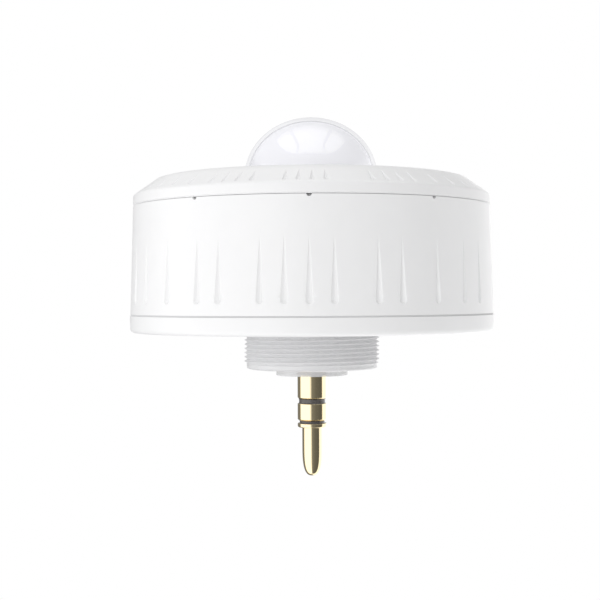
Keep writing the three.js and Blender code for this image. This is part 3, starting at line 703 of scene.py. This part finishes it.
spring_box = Extent("plug_tip_spring")
SPRING_TURNS = 4
SPRING_WIRE_R = 0.34
coil_steps = 30 * SPRING_TURNS
spring_low, spring_high = spring_box.bottom + SPRING_WIRE_R, spring_box.top - SPRING_WIRE_R
coil = [(2.6 * math.cos(2 * math.pi * SPRING_TURNS * t), 2.6 * math.sin(2 * math.pi * SPRING_TURNS * t),
         spring_low + (spring_high - spring_low) * t) for t in np.linspace(0, 1, coil_steps + 1)]
spring = piece("plug_tip_spring", tube(coil, SPRING_WIRE_R, 10))
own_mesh(spring)


# ---- fixings ----
def pan_head_screw(node, head_r, head_height, shank_r, recess=0.5):
    """A pan-head screw with a hexagonal recess and a ringed shank, either way up."""
    box = Extent(node)
    length = box.size[2] - head_height
    pitch = 0.5
    rings = []
    for z in np.arange(-length + 0.7, -0.5, pitch):
        rings += [(shank_r - 0.17, z), (shank_r, z + pitch * 0.5)]

    def outline(angle):
        flat = math.radians(angle % 60 - 30)
        socket = head_r * recess / math.cos(flat)
        return [
            (0, -length), (shank_r * 0.5, -length), *rings, (shank_r, -0.3), (shank_r, 0),
            (head_r - 0.1, 0), *arc(head_r * 0.35, head_height * 0.62, -10, 80, 6,
                                    (head_r * 0.65, head_height * 0.38)),
            (socket + 0.08, head_height), (socket, head_height - 0.08),
            (socket, head_height * 0.4), (0, head_height * 0.4),
        ]

    upside_down = node.startswith(("base_screw", "dome_clamp_screw"))
    seat = box.bottom + head_height if upside_down else box.top - head_height
    corners, faces = lathe(outline, 36)
    flip = -1 if upside_down else 1
    placed = corners * (1, flip, flip) + (box.middle[0], box.middle[1], seat)
    piece(node, (placed, faces))


SCREW_KINDS = {                    # head radius, head height, shank radius
    "base_screw": (2.9, 2, 1.2),
    "coupling_screw": (2.8, 1.8, 1.15),
    "main_board_screw": (2.8, 1.8, 1.15),
    "sensor_board_screw": (2.1, 1.5, 1.05),
    "dome_clamp_screw": (2.1, 1.5, 1.05),
}
for name in nodes:
    kind = name.rstrip("_0123456789")
    if kind in SCREW_KINDS:
        pan_head_screw(name, *SCREW_KINDS[kind])

nut = Extent("plug_nut")


def nut_outline(angle):
    """A hexagon with its corners turned off at both faces."""
    reach = nut.size[1] / 2 / math.cos(math.radians(angle % 60 - 30))
    cut = max(0.0, reach - nut.size[1] / 2) * 0.6
    return [(5.3, nut.bottom), (reach - cut, nut.bottom), (reach, nut.bottom + cut),
            (reach, nut.top - cut), (reach - cut, nut.top), (5.3, nut.top)]


piece("plug_nut", lathe(nut_outline, 72), crease=20)

vent = Extent("pressure_vent")
VENT_BODY_R = 5.1


def vent_outline(angle):
    """A cap with a scalloped grip and a slotted face on a plain body."""
    grip = vent.radius - 0.28 * (0.5 - 0.5 * math.cos(math.radians(angle * 12)))
    slot = 0.35 if angle % 60 < 20 else 0
    return [(0, vent.bottom), (2.2, vent.bottom), (2.3, vent.bottom + slot),
            (4.4, vent.bottom + slot), (4.5, vent.bottom), (grip - 0.3, vent.bottom),
            (grip, vent.bottom + 0.3), (grip, -0.05), (VENT_BODY_R, -0.05),
            (VENT_BODY_R, vent.top - 0.3), (VENT_BODY_R - 0.3, vent.top), (0, vent.top)]


piece("pressure_vent", lathe(vent_outline, 144, vent.middle[:2]))


# ---- board parts ----
def chip(node, legs):
    """A moulded package on formed legs along all four sides, with a corner mark."""
    box = Extent(node)
    x, y, _ = box.middle
    width, depth, height = box.size
    reach = min(0.8, width * 0.12)
    solids = [block((x, y, box.bottom + height * 0.55), (width - 2 * reach, depth - 2 * reach,
                                                         height * 0.9), 0.1)]
    pitch = (width - 2 * reach) / (legs + 1)
    for leg in range(1, legs + 1):
        along = -width / 2 + reach + pitch * leg
        for side in (-1, 1):
            foot = side * (width / 2 - reach * 0.45)
            solids += [
                block((x + along, y + foot, box.bottom + 0.08), (pitch * 0.5, reach * 0.9, 0.16), 0.03),
                block((x + foot, y + along, box.bottom + 0.08), (reach * 0.9, pitch * 0.5, 0.16), 0.03),
                block((x + along, y + foot - side * reach * 0.35, box.bottom + height * 0.3),
                      (pitch * 0.5, 0.16, height * 0.5), 0.03),
                block((x + foot - side * reach * 0.35, y + along, box.bottom + height * 0.3),
                      (0.16, pitch * 0.5, height * 0.5), 0.03),
            ]
    mark_r = width * 0.05
    mark = (x - width * 0.28, y + depth * 0.28)
    solids.append(lathe([(mark_r * 0.7, box.top - 0.12), (mark_r, box.top - 0.12),
                         (mark_r, box.top), (mark_r * 0.7, box.top)], 24, mark))
    piece(node, joined(*solids))


chip("processor_chip", 11)
chip("light_sensor", 3)
chip("ultraviolet_sensor", 2)
# The climate sensor takes the diffuser's glowing finish, whose emission is painted light.
chip("climate_sensor", 3)

inductor = Extent("power_inductor")
ix, iy, _ = inductor.middle
turns = [(0, inductor.bottom + 0.9)]
for z in np.arange(inductor.bottom + 0.9, inductor.top - 0.95, 0.45):
    turns += [(4.1, z), (4.25, z + 0.22)]
piece("power_inductor", joined(
    block((ix, iy, inductor.bottom + 0.45), (10, 10, 0.9), 0.2),
    lathe([*turns, (4.1, inductor.top - 0.9), (0, inductor.top - 0.9)], 48, (ix, iy)),
    lathe(rounded((0, inductor.top - 0.9), (4.9, inductor.top - 0.9, 0.2),
                  (4.9, inductor.top, 0.3), (0, inductor.top)), 48, (ix, iy)),
    *[block((ix + side * 4.4, iy, inductor.bottom + 1.1), (1.0, 3, 1.6), 0.15) for side in (-1, 1)]))

capacitor = Extent("power_capacitor")


def capacitor_outline(angle):
    """A sleeved can with a crimp near its foot and a crossed vent in its top."""
    vent_cut = 0.22 if abs((angle + 45) % 90 - 45) < 7 else 0
    low, high, r = capacitor.bottom, capacitor.top, capacitor.radius
    return [(0, low), (r - 0.3, low), (r, low + 0.3), (r, low + 1.4), (r - 0.35, low + 2.0),
            (r, low + 2.6), (r, high - 0.5), (r - 0.15, high - 0.15), (r - 0.5, high),
            (r - 0.9, high), (r - 1.1, high - 0.3), (r - 1.3, high - 0.3 - vent_cut),
            (0.4, high - 0.3 - vent_cut), (0.3, high - 0.3), (0, high - 0.3)]


piece("power_capacitor", lathe(capacitor_outline, 96, capacitor.middle[:2]))


def socket(node, pins, opens_up):
    """A connector shell, open on one side, with a row of pins inside."""
    box = Extent(node)
    x, y, z = box.middle
    width, depth, height = box.size
    along_x = width > depth
    wall = 0.8
    floor_z = box.bottom + 0.4 if opens_up else box.top - 0.4
    solids = [block((x, y, floor_z), (width, depth, 0.8), 0.1)]
    for side in (-1, 1):
        solids += [
            block((x + side * (width - wall) / 2, y, z), (wall, depth, height), 0.12),
            block((x, y + side * (depth - wall) / 2, z), (width, wall, height), 0.12),
        ]
    length = (width if along_x else depth) - 2 * wall - 1
    for place in np.linspace(-length / 2, length / 2, pins):
        at = (x + place, y, z) if along_x else (x, y + place, z)
        solids.append(block(at, (0.5, 0.5, height * 0.8), 0.08))
    piece(node, joined(*solids))


socket("main_board_socket", 8, True)
socket("sensor_board_socket", 8, False)
socket("plug_header", 3, False)


# ---- wires and cable ----
WIRE_R = 0.4
WIRE_ROUTES = {
    "tip_wire": ((-3, 9, 15.9), (-3, 8, 10), (-2.6, 3.5, 3), (-2.3, 2.3, -4), (-2.3, 2.3, -15),
                 (-2.3, 2.3, -27.5)),
    "ring_wire": ((0, 9, 15.9), (0.6, 7.5, 10), (2.6, 2.2, 3), (3.2, 0, -4), (3.2, 0, -15),
                  (3.2, 0, -25.5), (3.35, 0, -26.3), (3.85, 0, -26.5), (4.4, 0, -26.5)),
    "sleeve_wire": ((3, 9, 15.9), (3.6, 8, 10), (3.7, 4.2, 3), (3.45, 3.45, -1), (3.45, 3.45, -3.9)),
}
for name, route in WIRE_ROUTES.items():
    piece(name, tube(smooth_path(route), WIRE_R, 16), crease=60)

main_socket, sensor_socket = Extent("main_board_socket"), Extent("sensor_board_socket")
CABLE_WIDTH = 8
CABLE_CORES = 8


def flat_cable():
    """A ribbed flat cable from one socket up to the other, bent in the plane of its thickness."""
    spine = smooth_path([
        (-26, main_socket.top - 1.5), (-26, 28.5), (-24, 32), (-13, 34.5), (-11, 37.5),
        (-11, sensor_socket.bottom + 1.5)], 14)
    spine = np.array(spine)
    tangents = np.gradient(spine, axis=0)
    tangents /= np.linalg.norm(tangents, axis=1)[:, None]
    across = np.linspace(-CABLE_WIDTH / 2, CABLE_WIDTH / 2, CABLE_CORES * 8 + 1)
    ribs = 0.14 + 0.16 * np.abs(np.sin(np.pi * (across + CABLE_WIDTH / 2) * CABLE_CORES / CABLE_WIDTH))
    columns = []
    for (x, z), (dx, dz) in zip(spine, tangents):
        faces = [[(x - dz * r * side, y, z + dx * r * side) for y, r in zip(across, ribs)]
                 for side in (1, -1)]
        columns.append(faces[0] + faces[1][::-1])
    return loft(columns, closed_ring=False)


piece("sensor_cable", flat_cable(), crease=60)


# ---- carried-over CAD nodes ----
def soften(node, width):
    """Gives a carried-over CAD node its finish and small rounded edges."""
    shown = nodes[node]
    shown.material_slots[0].material = FINISHES[SLOTS[node]]
    bevel = shown.modifiers.new("edges", "BEVEL")
    bevel.width = width * MM
    bevel.segments = 2
    bevel.limit_method = "ANGLE"
    bevel.angle_limit = math.radians(35)


for name, shown in nodes.items():
    if not shown.hide_render:
        soften(name, 0.08)


# ---- camera, light and floor ----
CAMERA_ROLL = -0.005


def make_camera():
    """A level view from the front, a little above the base."""
    camera = bpy.data.objects.new("camera", bpy.data.cameras.new("camera"))
    bpy.context.scene.collection.objects.link(camera)
    camera.location = (-0.00413, -0.44706, 0.0126)
    camera.rotation_euler = (math.pi / 2, 0, 0)
    camera.rotation_euler.rotate_axis("Z", CAMERA_ROLL)
    camera.data.lens = 75.26
    camera.data.shift_y = -0.00707
    bpy.context.scene.camera = camera


def ramp(tree, value, stops):
    """A colour ramp's output for a value, from (position, level) stops."""
    node = tree.nodes.new("ShaderNodeValToRGB")
    node.color_ramp.interpolation = "EASE"
    elements = node.color_ramp.elements
    while len(elements) > 1:
        elements.remove(elements[-1])
    for i, (position, level) in enumerate(stops):
        element = elements[0] if i == 0 else elements.new(position)
        element.position = position
        element.color = (level, level, level, 1)
    tree.links.new(value, node.inputs["Fac"])
    return node.outputs["Color"]


SKY_LEVEL = 1.0
GROUND_LEVEL = 1.05
SIDE_LEVELS = (                    # soft light by azimuth from the front, positive towards +X
    (-180, 0.8), (-150, 1.5), (-110, 1.6), (-40, 1.55), (-10, 1.38), (20, 1.1), (75, 0.2),
    (105, 0.7), (140, 1.0), (180, 0.8),
)
PANEL_LEVELS = (                   # what polished metal mirrors: two bright panels and the gaps
    (-180, 0.3), (-112, 0.3), (-98, 2.2), (-22, 2.2), (0, 0.3), (40, 0.2), (82, 0.16), (94, 2.0),
    (170, 2.0), (180, 0.3),
)
SIDES_LOW, SIDES_HIGH = -25, 35    # elevations between which the side light stands, in degrees
PANELS_LOW, PANELS_HIGH = -75, 18
LEVEL_SCALE = 3.0                  # a colour ramp holds these levels as shares of this


def make_world():
    """A white studio: soft light from the sides and above, and panels for metal to mirror."""
    world = bpy.data.worlds.new("studio")
    bpy.context.scene.world = world
    world.use_nodes = True
    tree = world.node_tree
    tree.nodes.clear()
    direction = tree.nodes.new("ShaderNodeTexCoord").outputs["Generated"]
    split = tree.nodes.new("ShaderNodeSeparateXYZ")
    tree.links.new(direction, split.inputs["Vector"])
    x, y, z = split.outputs
    toward_front = math_node(tree, "MULTIPLY", y, -1)
    azimuth = math_node(tree, "DIVIDE", math_node(tree, "ARCTAN2", x, toward_front), 2 * math.pi)
    azimuth = math_node(tree, "ADD", azimuth, 0.5)
    elevation = math_node(tree, "MULTIPLY", math_node(tree, "ARCSINE", z), 180 / math.pi)

    def by_azimuth(levels):
        stops = [(degrees / 360 + 0.5, level / LEVEL_SCALE) for degrees, level in levels]
        return math_node(tree, "MULTIPLY", ramp(tree, azimuth, stops), LEVEL_SCALE)

    def above(degrees, blur):
        """0 below an elevation and 1 above it, with a soft edge."""
        node = tree.nodes.new("ShaderNodeMapRange")
        node.interpolation_type = "SMOOTHSTEP"
        node.inputs["From Min"].default_value = degrees - blur
        node.inputs["From Max"].default_value = degrees + blur
        tree.links.new(elevation, node.inputs["Value"])
        return node.outputs["Result"]

    def around(levels, low, high, blur):
        """Light of these levels between two elevations, sky above and ground below."""
        low_edge, high_edge = above(low, blur), above(high, blur)
        band = math_node(tree, "SUBTRACT", low_edge, high_edge)
        sides = math_node(tree, "MULTIPLY", by_azimuth(levels), band)
        sky = math_node(tree, "MULTIPLY", high_edge, SKY_LEVEL)
        under = math_node(tree, "MULTIPLY", math_node(tree, "SUBTRACT", 1, low_edge), GROUND_LEVEL)
        total = math_node(tree, "ADD", math_node(tree, "ADD", sides, sky), under)
        lamp = tree.nodes.new("ShaderNodeBackground")
        tree.links.new(total, lamp.inputs["Strength"])
        return lamp.outputs["Background"]

    def choose(condition, usual, special):
        node = tree.nodes.new("ShaderNodeMixShader")
        tree.links.new(condition, node.inputs["Fac"])
        tree.links.new(usual, node.inputs[1])
        tree.links.new(special, node.inputs[2])
        return node.outputs["Shader"]

    path = tree.nodes.new("ShaderNodeLightPath")
    backdrop = tree.nodes.new("ShaderNodeBackground")
    backdrop.inputs["Color"].default_value = (1, 1, 1, 1)
    soft = around(SIDE_LEVELS, SIDES_LOW, SIDES_HIGH, 12)
    mirrored = around(PANEL_LEVELS, PANELS_LOW, PANELS_HIGH, 5)
    lit = choose(path.outputs["Is Glossy Ray"], soft, mirrored)
    shown = choose(path.outputs["Is Camera Ray"], lit, backdrop.outputs["Background"])
    output = tree.nodes.new("ShaderNodeOutputWorld")
    tree.links.new(shown, output.inputs["Surface"])


def make_floor():
    """A white disc well below the head, which hangs from its mount."""
    corners, faces = lathe([(0, -604), (1500, -604), (1500, -600), (0, -600)], 96)
    mesh = bpy.data.meshes.new("floor")
    mesh.from_pydata([tuple(np.array(c) * MM) for c in corners], [], faces)
    floor = bpy.data.objects.new("floor", mesh)
    bpy.context.scene.collection.objects.link(floor)
    made = Nodes("white_floor")
    made.shader.inputs["Base Color"].default_value = (0.8, 0.8, 0.8, 1)
    made.shader.inputs["Roughness"].default_value = 0.9
    made.shader.inputs["Emission Color"].default_value = (1, 1, 1, 1)
    made.shader.inputs["Emission Strength"].default_value = 0.35
    made.bumps([(made.noise(3, 3), 0.05)])
    mesh.materials.append(made.material)
    floor.visible_glossy = False


SOFTBOX_HEIGHT = 900               # above the dome's centre
SOFTBOX_OUTER = 0.83               # its half width, as a share of its height above the dome
SOFTBOX_MIDDLE, SOFTBOX_HALF = -0.28, 0.75
SOFTBOX_LEVEL = 1.9


def make_softbox():
    """Three bright panels overhead that spread towards the front, with narrow gaps between."""
    corners, faces = [], []
    rows = 24
    gap = 0.07
    for row in range(rows + 1):
        share = 1 - 2 * row / rows
        y = SOFTBOX_MIDDLE + SOFTBOX_HALF * share
        outer = SOFTBOX_OUTER * (1.001 - abs(share) ** 3.2) ** (1 / 3.2)
        inner = min(outer - gap, 0.34 + 0.30 * max(0, -share) ** 2.2)
        for x in (-outer, -inner - gap / 2, -inner + gap / 2, inner - gap / 2, inner + gap / 2, outer):
            corners.append((x * SOFTBOX_HEIGHT, y * SOFTBOX_HEIGHT, SOFTBOX_HEIGHT + cover.top))
    for row in range(rows):
        for left in (0, 2, 4):
            a = row * 6 + left
            faces.append((a, a + 1, a + 7, a + 6))
    mesh = bpy.data.meshes.new("softbox")
    mesh.from_pydata([tuple(np.array(c) * MM) for c in corners], [], faces)
    softbox = bpy.data.objects.new("softbox", mesh)
    bpy.context.scene.collection.objects.link(softbox)
    made = Nodes("softbox")
    made.shader.inputs["Base Color"].default_value = (0, 0, 0, 1)
    made.shader.inputs["Specular IOR Level"].default_value = 0
    made.shader.inputs["Emission Color"].default_value = (1, 1, 1, 1)
    made.shader.inputs["Emission Strength"].default_value = SOFTBOX_LEVEL
    mesh.materials.append(made.material)
    softbox.visible_camera = False
    softbox.visible_diffuse = False
    softbox.visible_shadow = False


make_camera()
make_world()
make_floor()
make_softbox()
bpy.context.scene.view_settings.view_transform = "Standard"

bpy.context.view_layer.update()
